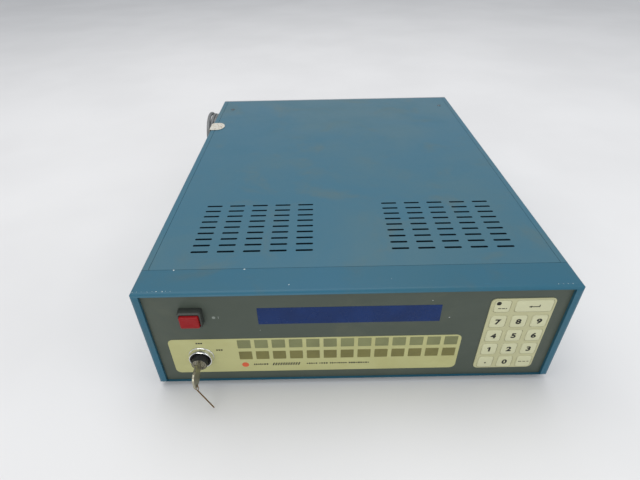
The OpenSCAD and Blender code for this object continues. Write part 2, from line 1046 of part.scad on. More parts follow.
// A moulded mains plug that lies on the table, its blades to the front
module mains_plug() {
    front = plug_back - 34;
    blade_x = 6.35;
    blade_z = plug_z + 4.5;
    pin_z = blade_z - 11.9;
    color(cord_grey)
        from_front() {
            taper(plug_x, plug_z, 7, 4.2, plug_back, plug_back + 42);
            pad(plug_x, plug_z, 27, 2 * plug_z, 5, front, plug_back);
        }
    color(steel)
        from_front() {
            for (side = [-1, 1])
                block([plug_x + side * blade_x - 0.75, front - 17, blade_z - 3.2],
                    [plug_x + side * blade_x + 0.75, front, blade_z + 3.2]);
            bar(plug_x, pin_z, 2.4, front - 18, front);
        }
}

front_hood();
top_cover();
bottom_cover();
side_panel_left();
side_panel_right();
rear_panel();
front_plate();
panel_overlay();
legend_strip();
display_window();
display_glass();
indicator_windows_upper();
indicator_windows_lower();
indicator_leds();
front_board();
keypad_sheet();
keypad_board();
key_0();
key_1();
key_2();
key_3();
key_4();
key_5();
key_6();
key_7();
key_8();
key_9();
key_point();
key_dash();
key_wide();
key_mode();
lock_body();
lock_ring();
lock_collar();
lock_cylinder();
lock_nut();
lock_contacts();
lock_key();
wire_loop();
switch_housing();
power_button();
main_board();
board_chips();
transformer_core();
transformer_coil();
power_board();
capacitors();
board_standoffs();
ribbon_cable();
fuse_holder();
fuse_cap();
bnc_connectors();
data_connector();
strain_relief();
mains_cord();
cord_coil();
cord_tag();
mains_plug();
feet();
case_screws();
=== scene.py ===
"""The looks of the function generator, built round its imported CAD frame. Metres, in the CAD's own frame."""
import math
import random

import bmesh
import bpy
from mathutils import Matrix, Vector


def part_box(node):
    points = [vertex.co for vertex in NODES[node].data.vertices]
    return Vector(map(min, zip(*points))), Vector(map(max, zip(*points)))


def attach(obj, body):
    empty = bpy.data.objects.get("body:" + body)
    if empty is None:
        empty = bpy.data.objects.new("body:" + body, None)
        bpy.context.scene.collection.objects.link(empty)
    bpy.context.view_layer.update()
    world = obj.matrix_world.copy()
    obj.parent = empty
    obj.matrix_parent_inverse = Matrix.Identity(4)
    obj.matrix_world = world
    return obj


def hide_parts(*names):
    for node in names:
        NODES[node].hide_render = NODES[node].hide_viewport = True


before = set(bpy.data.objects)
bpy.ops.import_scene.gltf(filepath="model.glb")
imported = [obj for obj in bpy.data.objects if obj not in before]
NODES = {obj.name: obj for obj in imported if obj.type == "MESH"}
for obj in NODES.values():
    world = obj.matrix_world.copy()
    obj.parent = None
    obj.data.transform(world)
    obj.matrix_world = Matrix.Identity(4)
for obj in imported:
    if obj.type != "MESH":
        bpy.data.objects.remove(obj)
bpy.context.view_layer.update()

MM = 0.001
CASE = "case"
# How far a printed mark reaches under its surface and stands over it
INK_UNDER, INK_OVER = 0.02 * MM, 0.03 * MM

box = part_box
HOOD_LOW, HOOD_HIGH = box("front_hood")
FRONT = HOOD_LOW.y
TOP = HOOD_HIGH.z
BACK = box("rear_panel")[1].y


def middle(node):
    low, high = box(node)
    return (low + high) / 2


def behind(x, depth, z):
    """A point x across, depth behind the front edge and z above the table, all in millimetres."""
    return Vector((x * MM, FRONT + depth * MM, z * MM))


# ---- camera and light ----

def make_camera():
    """A phone-like lens above and in front of the instrument, tipped down 36 degrees."""
    focal_px, width_px, sensor = 437.76, 640, 36.0
    place = behind(-33.2, -298.1, 411.7)
    yaw, pitch, roll = (math.radians(a) for a in (-0.06, 36.04, -1.146))
    ahead = Vector((math.sin(yaw) * math.cos(pitch), math.cos(yaw) * math.cos(pitch), -math.sin(pitch)))
    right = Vector((math.cos(yaw), -math.sin(yaw), 0))
    up = right.cross(ahead)
    right_turned = right * math.cos(roll) + up * math.sin(roll)
    up_turned = up * math.cos(roll) - right * math.sin(roll)
    data = bpy.data.cameras.new("camera")
    data.sensor_width = sensor
    data.lens = sensor * focal_px / width_px
    data.clip_start = 0.01
    camera = bpy.data.objects.new("camera", data)
    turn = Matrix((right_turned, up_turned, -ahead)).transposed().to_4x4()
    camera.matrix_world = Matrix.Translation(place) @ turn
    bpy.context.scene.collection.objects.link(camera)
    bpy.context.scene.camera = camera


def area_light(name, place, aim, size, watts, colour):
    """A rectangular lamp at place that points at aim."""
    data = bpy.data.lights.new(name, "AREA")
    data.shape = "RECTANGLE"
    data.size, data.size_y = size
    data.energy = watts
    data.color = colour
    lamp = bpy.data.objects.new(name, data)
    lamp.location = place
    lamp.rotation_euler = (Vector(aim) - Vector(place)).to_track_quat("-Z", "Y").to_euler()
    bpy.context.scene.collection.objects.link(lamp)


def make_studio():
    world = bpy.data.worlds.new("studio")
    world.use_nodes = True
    background = world.node_tree.nodes["Background"]
    background.inputs["Color"].default_value = (0.90, 0.93, 0.97, 1)
    background.inputs["Strength"].default_value = 0.62
    bpy.context.scene.world = world
    # Place, aim, size, watts and colour
    area_light("overhead", (-0.3, 0.5, 2.2), (0, 0, 0), (2.4, 1.8), 30, (1, 0.99, 0.97))
    area_light("window", (1.9, -0.6, 1.3), (0, 0, 0.05), (1.4, 1.4), 9, (0.95, 0.98, 1))
    area_light("fill", (-0.5, -2.4, 1.1), (0, -0.2, 0.05), (1.8, 1.2), 22, (1, 0.99, 0.94))
    bpy.context.scene.view_settings.view_transform = "Standard"


# ---- materials ----

class Paint:
    """A small builder for one principled material and its procedural nodes."""

    def __init__(self, name, colour, rough, metal=0.0, **sockets):
        self.mat = bpy.data.materials.new(name)
        self.mat.use_nodes = True
        self.tree = self.mat.node_tree
        self.shader = self.tree.nodes["Principled BSDF"]
        self.set("Base Color", (*colour, 1))
        self.set("Roughness", rough)
        self.set("Metallic", metal)
        for socket, value in sockets.items():
            self.set(socket.replace("_", " "), value)
        self.place = self.node("ShaderNodeTexCoord").outputs["Object"]

    def set(self, socket, value):
        self.shader.inputs[socket].default_value = value

    def node(self, kind, **values):
        made = self.tree.nodes.new(kind)
        for key, value in values.items():
            setattr(made, key, value)
        return made

    def link(self, source, target):
        self.tree.links.new(source, target)

    def stretched(self, scale):
        made = self.node("ShaderNodeMapping")
        made.inputs["Scale"].default_value = scale
        self.link(self.place, made.inputs["Vector"])
        return made.outputs["Vector"]

    def noise(self, scale, detail=3.0, rough=0.5, stretch=None, warp=0.0):
        """Noise in the object's own space, finer along an axis where stretch is more."""
        made = self.node("ShaderNodeTexNoise")
        made.inputs["Scale"].default_value = scale
        made.inputs["Detail"].default_value = detail
        made.inputs["Roughness"].default_value = rough
        made.inputs["Distortion"].default_value = warp
        self.link(self.stretched(stretch) if stretch else self.place, made.inputs["Vector"])
        return made.outputs["Fac"]

    def ramp(self, source, low, high, start=0.0, end=1.0):
        """A smooth step from start to end as source goes from low to high."""
        made = self.node("ShaderNodeMapRange", interpolation_type="SMOOTHSTEP")
        for socket, value in zip(("From Min", "From Max", "To Min", "To Max"), (low, high, start, end)):
            made.inputs[socket].default_value = value
        self.link(source, made.inputs["Value"])
        return made.outputs["Result"]

    def mix(self, factor, first, second):
        """A colour between first and second, each a colour or an output."""
        made = self.node("ShaderNodeMix", data_type="RGBA")
        self.link(factor, made.inputs["Factor"])
        for value, socket in ((first, made.inputs[6]), (second, made.inputs[7])):
            if isinstance(value, tuple):
                socket.default_value = (*value, 1)
            else:
                self.link(value, socket)
        return made.outputs[2]

    def colour(self, output):
        self.link(output, self.shader.inputs["Base Color"])

    def rough(self, output):
        self.link(output, self.shader.inputs["Roughness"])

    def bump(self, source, strength, distance):
        made = self.node("ShaderNodeBump")
        made.inputs["Strength"].default_value = strength
        made.inputs["Distance"].default_value = distance
        self.link(source, made.inputs["Height"])
        self.link(made.outputs["Normal"], self.shader.inputs["Normal"])


def enamel(name, colour, worn, dusty, painted_shade_below=None):
    """Sprayed enamel with faded patches, smudges, scratches and orange peel, and painted shade below a given
    height.
    """
    rough = 0.38
    p = Paint(name, colour, rough, Specular_IOR_Level=0.28)
    patches = p.ramp(p.noise(5.5, 4, 0.6, warp=0.4), 0.36, 0.70)
    smudges = p.ramp(p.noise(15, 5, 0.6, warp=0.5), 0.50, 0.78, 0, 0.75)
    tone = p.mix(patches, colour, worn)
    tone = p.mix(smudges, tone, dusty)
    scratches = p.ramp(p.noise(75, 2, 0.5, stretch=(0.8, 9, 1)), 0.72, 0.76, 0, 0.22)
    tone = p.mix(scratches, tone, tuple(min(1, c * 1.7 + 0.02) for c in colour))
    specks = p.ramp(p.noise(900, 1, 0.4), 0.80, 0.84, 0, 0.5)
    tone = p.mix(specks, tone, tuple(c * 0.35 for c in colour))
    if painted_shade_below is not None:
        # Painted shade: near black below the given height, on the slot walls, the seams and the underside
        dark, blur = (0.008, 0.016, 0.026), 0.1 * MM
        height = p.node("ShaderNodeSeparateXYZ")
        p.link(p.place, height.inputs["Vector"])
        tone = p.mix(p.ramp(height.outputs["Z"], painted_shade_below - blur, painted_shade_below + blur), dark, tone)
    p.colour(tone)
    p.rough(p.ramp(p.noise(14, 4, 0.6), 0.35, 0.7, rough - 0.03, rough + 0.07))
    p.bump(p.noise(1300, 2, 0.5), 0.12, 0.0002)
    return p.mat


def plastic(name, colour, rough=0.45, grain=2200, depth=0.00004, vary=0.12, **sockets):
    """Moulded plastic with a fine grain and slightly uneven colour."""
    p = Paint(name, colour, rough, **{"Specular_IOR_Level": 0.35, **sockets})
    dark = tuple(c * (1 - vary) for c in colour)
    light = tuple(min(1, c * (1 + vary)) for c in colour)
    p.colour(p.mix(p.ramp(p.noise(24, 4, 0.6), 0.3, 0.7), dark, light))
    p.rough(p.ramp(p.noise(60, 3, 0.6), 0.3, 0.7, rough - 0.05, rough + 0.08))
    p.bump(p.noise(grain, 2, 0.5), 0.35, depth)
    return p.mat


def film(name, colour, stain, rough=0.42):
    """Printed polyester film: fine matt tooth, faint grime."""
    p = Paint(name, colour, rough, Specular_IOR_Level=0.32)
    grime = p.ramp(p.noise(13, 5, 0.62, warp=0.8), 0.45, 0.75, 0, 0.6)
    tone = p.mix(grime, colour, stain)
    wipe = p.ramp(p.noise(30, 3, 0.5, stretch=(0.6, 1, 3)), 0.5, 0.75, 0, 0.25)
    p.colour(p.mix(wipe, tone, tuple(min(1, c * 1.25) for c in colour)))
    p.rough(p.ramp(p.noise(22, 3, 0.6), 0.35, 0.7, rough - 0.05, rough + 0.12))
    p.bump(p.noise(3200, 1, 0.5), 0.25, 0.00003)
    return p.mat


def metal(name, colour, rough, stain, brush=(1, 1, 1), scale=160, dirt=0.4):
    """Plated or brushed metal with directional grain and dull spots."""
    p = Paint(name, colour, rough, 1.0)
    spots = p.ramp(p.noise(130, 4, 0.6), 0.45, 0.75, 0, dirt)
    p.colour(p.mix(spots, colour, stain))
    grain = p.noise(scale, 3, 0.6, stretch=brush)
    p.rough(p.ramp(grain, 0.3, 0.7, max(0.03, rough - 0.08), rough + 0.14))
    p.bump(grain, 0.12, 0.00005)
    return p.mat


def rubber(name, colour, rough):
    """Rubber or a soft sheath, dusty in patches."""
    p = Paint(name, colour, rough)
    dusty = tuple(min(1, c * 1.35 + 0.02) for c in colour)
    p.colour(p.mix(p.ramp(p.noise(70, 5, 0.65), 0.4, 0.72), colour, dusty))
    p.rough(p.ramp(p.noise(160, 3, 0.6), 0.3, 0.7, rough - 0.1, rough + 0.1))
    p.bump(p.noise(900, 3, 0.6), 0.3, 0.00006)
    return p.mat


def stained_paper(name, colour, stain):
    """Uncoated paper with fibres and small brown stains."""
    p = Paint(name, colour, 0.8)
    fibres = p.ramp(p.noise(260, 4, 0.6, stretch=(1, 0.4, 1)), 0.35, 0.7, 0, 0.3)
    tone = p.mix(fibres, colour, tuple(c * 0.86 for c in colour))
    p.colour(p.mix(p.ramp(p.noise(330, 3, 0.55), 0.54, 0.64, 0, 0.8), tone, stain))
    p.rough(p.ramp(p.noise(90, 3, 0.5), 0.3, 0.7, 0.7, 0.9))
    p.bump(p.noise(700, 3, 0.6), 0.3, 0.00006)
    return p.mat


def circuit_board(name, colour, trace):
    """Solder mask with a lighter pattern of tracks under it."""
    p = Paint(name, colour, 0.35)
    tracks = p.node("ShaderNodeTexBrick")
    tracks.inputs["Scale"].default_value = 60
    tracks.inputs["Mortar Size"].default_value = 0.025
    for socket, value in (("Color1", colour), ("Color2", colour), ("Mortar", trace)):
        tracks.inputs[socket].default_value = (*value, 1)
    p.link(p.place, tracks.inputs["Vector"])
    p.colour(tracks.outputs["Color"])
    p.rough(p.ramp(p.noise(90, 3, 0.6), 0.3, 0.7, 0.28, 0.42))
    return p.mat


HOOD_BLUES = ((0.020, 0.108, 0.172), (0.026, 0.108, 0.158), (0.045, 0.105, 0.130))
COVER_BLUES = ((0.034, 0.124, 0.184), (0.050, 0.130, 0.172), (0.074, 0.128, 0.138))
MATS = {
    "hood": enamel("hood_enamel", *HOOD_BLUES),
    "cover": enamel("cover_enamel", *COVER_BLUES),
    # The top cover is darker in its vent slots and along its seams: painted shade, with some dust
    "slotted": enamel("slotted_enamel", *COVER_BLUES, painted_shade_below=TOP - 0.3 * MM),
    "panel": film("panel_film", (0.058, 0.073, 0.058), (0.080, 0.092, 0.066)),
    "cream": film("cream_film", (0.432, 0.428, 0.203), (0.385, 0.370, 0.155)),
    "pad_cream": film("pad_film", (0.448, 0.440, 0.262), (0.42, 0.405, 0.22)),
    "key": film("key_film", (0.535, 0.535, 0.350), (0.50, 0.495, 0.28), 0.40),
    "display": plastic("display_tint", (0.003, 0.022, 0.105), 0.25, 900, 0.00002, 0.15,
                       Specular_IOR_Level=0.22),
    "window_green": plastic("window_green", (0.180, 0.190, 0.085), 0.35, 1500, 0.00003, 0.14),
    "window_olive": plastic("window_olive", (0.158, 0.146, 0.044), 0.35, 1500, 0.00003, 0.14),
    "tube": plastic("tube_glass", (0.30, 0.36, 0.34), 0.08, 800, 0.00001, 0.05),
    "lamp": plastic("lamp_red", (0.50, 0.03, 0.02), 0.25),
    "board": circuit_board("solder_mask", (0.015, 0.105, 0.045), (0.03, 0.19, 0.08)),
    "board_brown": circuit_board("paper_board", (0.23, 0.13, 0.045), (0.30, 0.19, 0.08)),
    "chrome": metal("chrome_plate", (0.80, 0.80, 0.79), 0.10, (0.48, 0.47, 0.44), dirt=0.35),
    "cylinder": metal("worn_nickel", (0.42, 0.40, 0.31), 0.42, (0.06, 0.055, 0.04), scale=500, dirt=1.0),
    "nickel": metal("key_nickel", (0.42, 0.40, 0.31), 0.42, (0.22, 0.20, 0.13), (1, 0.3, 1), 500, 0.8),
    "blade": metal("blade_nickel", (0.60, 0.58, 0.52), 0.25, (0.40, 0.38, 0.32), (1, 0.2, 1), 400, 0.4),
    "collar": plastic("blackened_brass", (0.050, 0.046, 0.040), 0.30, 1400, 0.00006, 0.45,
                      Specular_IOR_Level=0.6),
    # The switch surround is lighter and greener than the black plastic: partly its own dark grey-green,
    # partly a painted reflection
    "bezel": plastic("bezel_plastic", (0.036, 0.041, 0.036), 0.38, 1800, 0.00005, 0.2),
    "steel": metal("zinc_plate", (0.58, 0.58, 0.56), 0.32, (0.40, 0.39, 0.36), (0.3, 1, 1), 240),
    "screw": metal("screw_steel", (0.14, 0.17, 0.19), 0.42, (0.06, 0.06, 0.06), scale=700, dirt=0.8),
    "wire": metal("tarnished_wire", (0.22, 0.125, 0.040), 0.5, (0.08, 0.04, 0.015), scale=900, dirt=0.8),
    "black": plastic("black_plastic", (0.016, 0.017, 0.017), 0.42, 1800, 0.00005, 0.2),
    "red": plastic("red_plastic", (0.235, 0.004, 0.006), 0.32, 1500, 0.00003, 0.12, Specular_IOR_Level=0.2),
    "core": metal("laminations", (0.10, 0.09, 0.085), 0.5, (0.16, 0.07, 0.03), (1, 9, 1), 300, 0.5),
    "winding": plastic("winding_tape", (0.46, 0.29, 0.07), 0.35, 900),
    "sleeve": plastic("capacitor_sleeve", (0.02, 0.045, 0.19), 0.22, 700),
    "ribbon": plastic("ribbon_grey", (0.30, 0.31, 0.32), 0.45, 900),
    "relief": rubber("relief_rubber", (0.020, 0.020, 0.021), 0.55),
    "cord": rubber("cord_sheath", (0.130, 0.134, 0.138), 0.45),
    "tag": stained_paper("tag_paper", (0.56, 0.54, 0.48), (0.24, 0.155, 0.08)),
    "foot": rubber("foot_rubber", (0.018, 0.018, 0.018), 0.7),
    "ink": plastic("ink_black", (0.010, 0.010, 0.008), 0.6, 2000, 0.00001),
    "ink_pale": plastic("ink_pale", (0.20, 0.225, 0.205), 0.5, 2000, 0.00001),
    "rear": metal("rear_aluminium", (0.50, 0.51, 0.52), 0.40, (0.36, 0.37, 0.38), (0.25, 1, 1), 260, 0.5),
    "ink_red": plastic("ink_red", (0.52, 0.09, 0.035), 0.5, 2000, 0.00001),
    "primer": plastic("bare_primer", (0.62, 0.66, 0.66), 0.6, 900, 0.00005, 0.2),
}

NODE_MATS = {
    "hood": ["front_hood"],
    "slotted": ["top_cover"],
    "cover": ["bottom_cover", "side_panel_left", "side_panel_right"],
    "rear": ["rear_panel"],
    "steel": ["front_plate", "lock_body", "lock_nut", "board_standoffs", "data_connector"],
    "panel": ["panel_overlay"],
    "cream": ["legend_strip"],
    "pad_cream": ["keypad_sheet"],
    "display": ["display_window"],
    "tube": ["display_glass"],
    "window_green": ["indicator_windows_upper"],
    "window_olive": ["indicator_windows_lower"],
    "lamp": ["indicator_leds"],
    "board": ["front_board", "main_board"],
    "board_brown": ["power_board", "keypad_board"],
    "chrome": ["bnc_connectors"],
    "cylinder": ["lock_cylinder"],
    "black": ["lock_contacts", "fuse_holder", "fuse_cap", "board_chips"],
    "core": ["transformer_core"],
    "winding": ["transformer_coil"],
    "sleeve": ["capacitors"],
    "ribbon": ["ribbon_cable"],
    "foot": ["feet"],
}


def paint_cad_nodes():
    """Puts the materials on the CAD nodes that stay in view."""
    for mat, names in NODE_MATS.items():
        for name in names:
            for place in NODES[name].material_slots:
                place.material = MATS[mat]


# ---- building pieces ----

def add_piece(name, mesh, mat, body, replaces=()):
    """Puts a mesh in the scene as a piece that rides on a body."""
    piece = bpy.data.objects.new(name, mesh)
    bpy.context.scene.collection.objects.link(piece)
    mesh.materials.clear()
    mesh.materials.append(MATS[mat])
    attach(piece, body)
    if replaces:
        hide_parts(*replaces)
    return piece


def mesh_from(name, shape, smooth_angle):
    """Turns a bmesh into a mesh, smooth except over sharp edges."""
    bmesh.ops.recalc_face_normals(shape, faces=shape.faces)
    mesh = bpy.data.meshes.new(name)
    shape.to_mesh(mesh)
    shape.free()
    mesh.shade_smooth()
    mesh.set_sharp_from_angle(angle=math.radians(smooth_angle))
    return mesh


def add_shape(name, shape, mat, body, replaces=(), smooth_angle=35):
    """Makes a bmesh into a piece in the same way."""
    return add_piece(name, mesh_from(name, shape, smooth_angle), mat, body, replaces)


def rounded_outline(w, h, r):
    """Points round a rectangle with round corners, anticlockwise, centred on the origin."""
    steps = 6
    points = []
    for i, (sx, sz) in enumerate(((1, 1), (-1, 1), (-1, -1), (1, -1))):
        for k in range(steps + 1):
            a = math.radians(90 * i + 90 * k / steps)
            points.append((sx * (w / 2 - r) + r * math.cos(a), sz * (h / 2 - r) + r * math.sin(a)))
    return points


def loft(shape, rings):
    """Joins rings of points with quads, and caps both ends."""
    made = [[shape.verts.new(p) for p in ring] for ring in rings]
    n = len(made[0])
    for a, b in zip(made, made[1:]):
        for i in range(n):
            shape.faces.new((a[i], a[(i + 1) % n], b[(i + 1) % n], b[i]))
    shape.faces.new(list(reversed(made[0])))
    shape.faces.new(made[-1])


def cushioned_pad(shape, centre, w, h, r, y_front, y_back, edge, dish=0.0):
    """A rounded pad facing the front, with its front edge rolled over and its face flat or dished."""
    smallest_r, smallest_half = 0.2 * MM, 0.3 * MM
    half = min(w, h) / 2

    def ring(inset, y):
        outline = rounded_outline(w - 2 * inset, h - 2 * inset, max(r - inset, smallest_r))
        return [Vector((centre.x + u, y, centre.z + v)) for u, v in outline]

    rings = [ring(0, y_back)]
    for k in range(5):
        a = math.radians(90 * k / 4)
        rings.append(ring(edge * (1 - math.cos(a)), y_front + edge * (1 - math.sin(a))))
    for share in (0.35, 0.65, 0.9):
        inset = min(edge + share * (half - edge), half - smallest_half)
        rings.append(ring(inset, y_front + dish * math.sin(share * math.pi / 2)))
    loft(shape, rings)


def lathe(shape, centre, profile, steps, axis="Y"):
    """Turns a profile of (radius, place along the axis) round the Y or X axis, closed at both ends."""
    rings = []
    for radius, along in profile:
        ring = []
        for k in range(steps):
            a = 2 * math.pi * k / steps
            u, v = radius * math.cos(a), radius * math.sin(a)
            offset = (u, along, v) if axis == "Y" else (along, u, v)
            ring.append(Vector(centre) + Vector(offset))
        rings.append(ring)
    loft(shape, rings)


def lathe_ring(shape, centre, profile, steps=72):
    """Turns a closed profile of (radius, y) round the Y axis through centre."""
    rings = []
    for k in range(steps):
        a = 2 * math.pi * k / steps
        rings.append([shape.verts.new(Vector(centre) + Vector((r * math.cos(a), y, r * math.sin(a))))
                      for r, y in profile])
    n = len(profile)
    for a, b in zip(rings, rings[1:] + rings[:1]):
        for i in range(n):
            shape.faces.new((a[i], a[(i + 1) % n], b[(i + 1) % n], b[i]))


def block(shape, low, high):
    """A plain box inside a larger piece."""
    for v in bmesh.ops.create_cube(shape, size=1)["verts"]:
        v.co = Vector(low[i] + (v.co[i] + 0.5) * (high[i] - low[i]) for i in range(3))


def add_bevel(piece, width):
    """Rounds the sharp edges of a piece."""
    bevel = piece.modifiers.new("edge", "BEVEL")
    bevel.width = width
    bevel.segments = 2
    bevel.limit_method = "ANGLE"
    bevel.angle_limit = math.radians(40)


def round_bar(name, path, radius, resolution):
    """Curve data for a round bar along a path of points."""
    data = bpy.data.curves.new(name, "CURVE")
    data.dimensions = "3D"
    data.bevel_depth = radius
    data.bevel_resolution = resolution
    data.use_fill_caps = True
    spline = data.splines.new("POLY")
    spline.points.add(len(path) - 1)
    for point, p in zip(spline.points, path):
        point.co = (*p, 1)
    spline.use_smooth = True
    return data


# ---- mains lead ----

CORD_D = 6
# The height of the lead's centre where it lies on the table
LYING_Z = 3.1
# The free stretch of the lead, as in the part's source: x, distance behind the front edge, and z
CORD_ROUTE = [(-165, 577, 44), (-165, 590, 43.6), (-166, 602, 41), (-169, 613, 35.4),
              (-174, 621, 27), (-181, 625, 18), (-190, 624.6, 10), (-200, 620.6, 5),
              (-210, 613, 3.2), (-218.6, 603, LYING_Z), (-224.6, 591, LYING_Z), (-227.6, 577, LYING_Z),
              (-227.6, 562, LYING_Z), (-226, 547, LYING_Z), (-223.6, 532, LYING_Z), (-221.4, 517, LYING_Z),
              (-219.6, 505, LYING_Z)]
COIL_Y = 488
COIL_Z = 65
COIL_R = 61.9
# The planes of the coil's turns, and the turns between which the lead moves from one to the next
COLUMN_X = (-218.8, -224.9, -231.8)
HOPS = ((1.75, 2.25), (4.14, 4.6))
TURNS = 5
PLUG_AXIS_Z = 11
PLUG_BACK_Y = COIL_Y - 80
# The end of the lead, from just in front of the coil's lowest point into the plug's sleeve
TAIL_GAP, TAIL_RUN = 8, 43


def eased(value, start, end):
    """0 before start, 1 after end, and smooth between them."""
    t = min(max((value - start) / (end - start), 0), 1)
    return t * t * (3 - 2 * t)


def coil_points():
    """Two turns that spiral inwards beside the case, two that spiral outwards, and one outside them."""
    per_turn = 36
    points = []
    for k in range(TURNS * per_turn + 1):
        turns = k / per_turn
        x = COLUMN_X[0]
        for column, (start, end) in enumerate(HOPS):
            x += eased(turns, start, end) * (COLUMN_X[column + 1] - COLUMN_X[column])
        r = COIL_R - CORD_D * max(0, min(turns, 4 - turns))
        a = 2 * math.pi * turns
        points.append((x, COIL_Y - r * math.sin(a), COIL_Z - r * math.cos(a)))
    return points


def smooth_path(points):
    """Points about a step apart along a smooth curve through the given ones."""
    step = 4
    fine = []
    ends = [points[0], *points, points[-1]]
    for p0, p1, p2, p3 in zip(ends, ends[1:], ends[2:], ends[3:]):
        p0, p1, p2, p3 = (Vector(p) for p in (p0, p1, p2, p3))
        n = max(1, round((p2 - p1).length / step))
        for k in range(n):
            t = k / n
            fine.append(0.5 * (2 * p1 + (p2 - p0) * t + (2 * p0 - 5 * p1 + 4 * p2 - p3) * t * t
                               + (3 * p1 - p0 - 3 * p2 + p3) * t ** 3))
    fine.append(Vector(points[-1]))
    return fine


def make_cord():
    """The lead from its strain relief, through the coil, to the plug."""
    plug_x = middle("mains_plug").x / MM
    tail, steps = [], 9
    for k in range(1, steps + 1):
        t = k / steps
        ease = eased(t, 0, 1)
        tail.append((COLUMN_X[-1] + ease * (plug_x - COLUMN_X[-1]), COIL_Y - TAIL_GAP - TAIL_RUN * t,
                     LYING_Z + ease * (PLUG_AXIS_Z - LYING_Z)))
    path = [behind(*p) for p in smooth_path([*CORD_ROUTE, *coil_points(), *tail])]
    return add_piece("mains_lead", round_bar("mains_lead", path, CORD_D / 2 * MM, 5), "cord", CASE,
                     ["mains_cord", "cord_coil"])


# ---- case ----

def finish_case():
    """Soft edges on the sheet metal and moulded CAD solids that stay."""
    for name, width in (("front_hood", 0.5), ("top_cover", 0.22), ("bottom_cover", 0.22),
                        ("side_panel_left", 0.4), ("side_panel_right", 0.4), ("rear_panel", 0.3),
                        ("panel_overlay", 0.08), ("display_window", 0.12), ("lock_cylinder", 0.35),
                        ("fuse_holder", 0.4), ("fuse_cap", 0.4), ("feet", 0.8),
                        ("indicator_windows_upper", 0.06), ("indicator_windows_lower", 0.06)):
        add_bevel(NODES[name], width * MM)


def screw_head(shape, place, up):
    """A pan head with a cross recess, its flat side at place and its dome along up (1 or -1) on Z."""
    height, arm, reach, recess = 1.05, 0.42, 1.75, 0.55
    cross = []
    for quarter in range(4):
        a = math.radians(90 * quarter)
        for u, v in ((reach, -arm), (reach, arm), (arm, arm)):
            cross.append((u * math.cos(a) - v * math.sin(a), u * math.sin(a) + v * math.cos(a)))

    def at(u, v, h):
        return Vector(place) + Vector((u, v * up, h * up)) * MM

    def circle(r, h):
        angles = [math.atan2(v, u) for u, v in cross]
        return [at(r * math.cos(a), r * math.sin(a), h) for a in angles]

    loft(shape, [circle(3.3, 0), circle(3.3, 0.25), circle(2.9, 0.72), circle(2.2, height),
                 [at(u, v, height - 0.05) for u, v in cross],
                 [at(u * 0.8, v * 0.8, height - recess) for u, v in cross]])


def make_screws():
    """The heads of the cover screws, two on top and four underneath."""
    low, high = box("case_screws")
    shape = bmesh.new()
    head_r = 3.4 * MM
    x = high.x - head_r
    bottom_ys = (low.y + head_r, high.y - head_r)
    for side in (-1, 1):
        screw_head(shape, (side * x, bottom_ys[1], TOP), 1)
        for y in bottom_ys:
            screw_head(shape, (side * x, y, box("bottom_cover")[0].z), -1)
    add_shape("case_screw_heads", shape, "screw", CASE, ["case_screws"], smooth_angle=30)


def flake(shape, centre, radius, normal, seed):
    """A small torn-edged patch that lies on a surface facing +Z or -Y."""
    draw = random.Random(seed)
    n, squash, thick = 14, 0.7, 0.05
    rim = []
    for k in range(n):
        a = 2 * math.pi * k / n
        r = radius * draw.uniform(0.55, 1.1)
        u, v = r * math.cos(a), squash * r * math.sin(a)
        rim.append((u, v))

    def at(u, v, h):
        offset = Vector((u, v, h)) if normal == "Z" else Vector((u, -h, v))
        return Vector(centre) + offset * MM

    loft(shape, [[at(u, v, -0.02) for u, v in rim], [at(u * 0.92, v * 0.92, thick) for u, v in rim]])


def make_chips():
    """Bare spots where the enamel is chipped: by the seam, along the front edge and on the panel."""
    shape = bmesh.new()
    seam = (box("top_cover")[0].y - FRONT) / MM
    # x, distance behind the front edge, and radius
    spots = [(-178.9, seam - 0.9, 1.1), (-108.9, seam - 1.4, 1.1), (-63.7, 11.5, 0.7), (34, 17, 0.35)]
    for number, (x, depth, radius) in enumerate(spots):
        flake(shape, behind(x, depth, TOP / MM), radius, "Z", 10 + number)
    # Small ones along the front edge, near its left end and then its right end
    draw = random.Random(7)
    for number in range(9):
        x = -209 + 36 * number / 8 + draw.uniform(-1.5, 1.5)
        place = behind(x, 5.2 + draw.uniform(-0.3, 0.5), TOP / MM)
        flake(shape, place, draw.uniform(0.25, 0.6), "Z", 30 + number)
    for number in range(4):
        flake(shape, behind(188 + 4.5 * number, 5.4, TOP / MM), draw.uniform(0.3, 0.6), "Z", 50 + number)
    add_shape("enamel_chips", shape, "primer", CASE)
    specks = bmesh.new()
    panel_front = (box("panel_overlay")[0].y - FRONT) / MM
    for number, (x, z, radius) in enumerate(((91.8, 95.9, 0.75), (72.5, 119.1, 0.6), (-95, 83, 0.35))):
        flake(specks, behind(x, panel_front, z), radius, "Y", 70 + number)
    add_shape("panel_specks", specks, "primer", CASE)


# ---- keypad ----

KEYS = {"key_point": "", "key_dash": "", "key_wide": "", "key_mode": "",
        **{f"key_{d}": str(d) for d in range(10)}}


def make_keys():
    """A cushioned pad for each key."""
    for name in KEYS:
        low, high = box(name)
        shape = bmesh.new()
        cushioned_pad(shape, (low + high) / 2, high.x - low.x, high.z - low.z, 3.0 * MM,
                      low.y, high.y, 1.0 * MM)
        add_shape(name + "_pad", shape, "key", name, [name], smooth_angle=50)


def mesh_of(name, data):
    """The mesh of a curve or text."""
    drawn = bpy.data.objects.new(name + "_drawn", data)
    bpy.context.scene.collection.objects.link(drawn)
    bpy.context.view_layer.update()
    mesh = bpy.data.meshes.new_from_object(drawn.evaluated_get(bpy.context.evaluated_depsgraph_get()))
    bpy.data.objects.remove(drawn)
    return mesh


